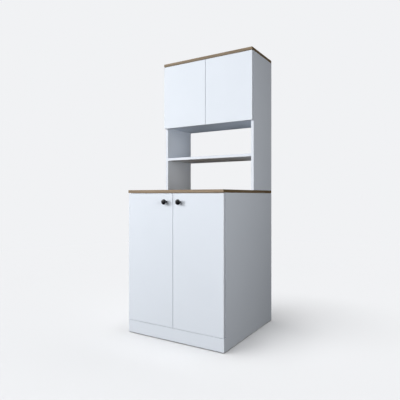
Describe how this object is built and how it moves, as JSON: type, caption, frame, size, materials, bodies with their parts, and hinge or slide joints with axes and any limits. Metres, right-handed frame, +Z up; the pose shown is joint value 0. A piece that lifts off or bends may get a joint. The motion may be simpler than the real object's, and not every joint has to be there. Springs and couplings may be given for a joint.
{
  "type": "washing machine cabinet",
  "caption": "Tall cabinet that houses a washing machine behind hinged lower doors, with an open niche and a closed cupboard above an oak-look worktop.",
  "frame": {"origin": "on the floor, under the middle of the overall box, whose front face is the front of the knobs and whose back face is the back plane of the boards", "axes": "+X to the right of a person who faces the doors, +Y from the doors to the wall, +Z up"},
  "size_m": [0.7, 0.675, 1.8],
  "materials": {
    "white_board": "white melamine-faced chipboard, satin",
    "oak_board": "oak decor melamine-faced chipboard, matt",
    "backing_board": "white-faced hardboard",
    "black_knob": "satin black",
    "nickel_steel": "nickel-plated",
    "grey_plastic": "moulded",
    "clear_bumper": "soft, translucent"
  },
  "bodies": {
    "carcass": {"lower_side_left": "white_board", "lower_side_right": "white_board", "worktop": "oak_board", "plinth_board": "white_board", "front_rail": "white_board", "back_rail_upper": "white_board", "back_rail_lower": "white_board", "floor_glide_front_left": "grey_plastic", "floor_glide_back_left": "grey_plastic", "floor_glide_front_right": "grey_plastic", "floor_glide_back_right": "grey_plastic", "plinth_clip_left": "grey_plastic", "plinth_clip_right": "grey_plastic", "hutch_side_left": "white_board", "hutch_side_right": "white_board", "hutch_top": "oak_board", "cupboard_floor": "white_board", "cupboard_back": "backing_board", "cupboard_shelf": "white_board", "niche_shelf": "white_board", "shelf_pin_front_left": "nickel_steel", "shelf_pin_back_left": "nickel_steel", "shelf_pin_front_right": "nickel_steel", "shelf_pin_back_right": "nickel_steel", "hinge_arm_lower_left_bottom": "nickel_steel", "hinge_arm_lower_left_top": "nickel_steel", "hinge_arm_lower_right_bottom": "nickel_steel", "hinge_arm_lower_right_top": "nickel_steel", "hinge_arm_upper_left_bottom": "nickel_steel", "hinge_arm_upper_left_top": "nickel_steel", "hinge_arm_upper_right_bottom": "nickel_steel", "hinge_arm_upper_right_top": "nickel_steel"},
    "lower_left_links": {"hinge_link_lower_left_bottom": "nickel_steel", "hinge_link_lower_left_top": "nickel_steel"},
    "lower_left_door": {"lower_door_left": "white_board", "hinge_cup_lower_left_bottom": "nickel_steel", "hinge_cup_lower_left_top": "nickel_steel", "knob_left": "black_knob", "knob_screw_left": "nickel_steel", "lower_bumper_left": "clear_bumper"},
    "lower_right_links": {"hinge_link_lower_right_bottom": "nickel_steel", "hinge_link_lower_right_top": "nickel_steel"},
    "lower_right_door": {"lower_door_right": "white_board", "hinge_cup_lower_right_bottom": "nickel_steel", "hinge_cup_lower_right_top": "nickel_steel", "knob_right": "black_knob", "knob_screw_right": "nickel_steel", "lower_bumper_right": "clear_bumper"},
    "upper_left_links": {"hinge_link_upper_left_bottom": "nickel_steel", "hinge_link_upper_left_top": "nickel_steel"},
    "upper_left_door": {"upper_door_left": "white_board", "hinge_cup_upper_left_bottom": "nickel_steel", "hinge_cup_upper_left_top": "nickel_steel", "upper_bumper_left": "clear_bumper"},
    "upper_right_links": {"hinge_link_upper_right_bottom": "nickel_steel", "hinge_link_upper_right_top": "nickel_steel"},
    "upper_right_door": {"upper_door_right": "white_board", "hinge_cup_upper_right_bottom": "nickel_steel", "hinge_cup_upper_right_top": "nickel_steel", "upper_bumper_right": "clear_bumper"}
  },
  "joints": [
    {"name": "lower_left_link_turn", "type": "hinge", "parent": "carcass", "child": "lower_left_links", "pos_m": [-0.318, -0.299, 0.481], "axis": [0, 0, 1], "range_deg": [0, 42]},
    {"name": "lower_left_door_swing", "type": "hinge", "parent": "lower_left_links", "child": "lower_left_door", "pos_m": [-0.338, -0.298, 0.481], "axis": [0, 0, -1], "range_deg": [0, 147]},
    {"name": "lower_right_link_turn", "type": "hinge", "parent": "carcass", "child": "lower_right_links", "pos_m": [0.318, -0.299, 0.481], "axis": [0, 0, -1], "range_deg": [0, 42]},
    {"name": "lower_right_door_swing", "type": "hinge", "parent": "lower_right_links", "child": "lower_right_door", "pos_m": [0.338, -0.298, 0.481], "axis": [0, 0, 1], "range_deg": [0, 147]},
    {"name": "upper_left_link_turn", "type": "hinge", "parent": "carcass", "child": "upper_left_links", "pos_m": [-0.318, 0.051, 1.5605], "axis": [0, 0, 1], "range_deg": [0, 42]},
    {"name": "upper_left_door_swing", "type": "hinge", "parent": "upper_left_links", "child": "upper_left_door", "pos_m": [-0.338, 0.052, 1.5605], "axis": [0, 0, -1], "range_deg": [0, 147]},
    {"name": "upper_right_link_turn", "type": "hinge", "parent": "carcass", "child": "upper_right_links", "pos_m": [0.318, 0.051, 1.5605], "axis": [0, 0, -1], "range_deg": [0, 42]},
    {"name": "upper_right_door_swing", "type": "hinge", "parent": "upper_right_links", "child": "upper_right_door", "pos_m": [0.338, 0.052, 1.5605], "axis": [0, 0, 1], "range_deg": [0, 147]}
  ],
  "couplings": [
    {"joint": "lower_left_link_turn", "follows": "lower_left_door_swing", "ratio": 0.28571},
    {"joint": "lower_right_link_turn", "follows": "lower_right_door_swing", "ratio": 0.28571},
    {"joint": "upper_left_link_turn", "follows": "upper_left_door_swing", "ratio": 0.28571},
    {"joint": "upper_right_link_turn", "follows": "upper_right_door_swing", "ratio": 0.28571}
  ]
}
